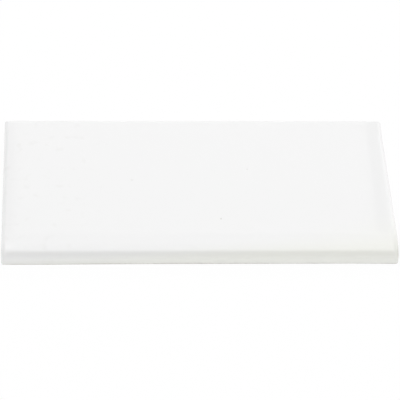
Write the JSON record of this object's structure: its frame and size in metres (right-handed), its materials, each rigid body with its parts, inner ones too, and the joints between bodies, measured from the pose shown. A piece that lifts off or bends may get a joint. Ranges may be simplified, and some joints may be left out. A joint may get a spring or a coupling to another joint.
{
  "type": "bullnose wall tile",
  "caption": "Glossy white ceramic wall tile, oblong, with a long edge rounded over in a bullnose, the other edges square and a waffle of shallow recesses in its back.",
  "frame": {"origin": "middle of the underside of the tile's box, on the surface that the tile lies on", "axes": "+X along the rounded edge, -Y towards the rounded edge, +Z out of the glazed face"},
  "size_m": [0.152, 0.076, 0.008],
  "materials": {
    "white_glaze": "gloss white glaze over a pale fired body, bare on the back"
  },
  "bodies": {
    "root": {"bullnose_tile": "white_glaze"}
  },
  "joints": []
}
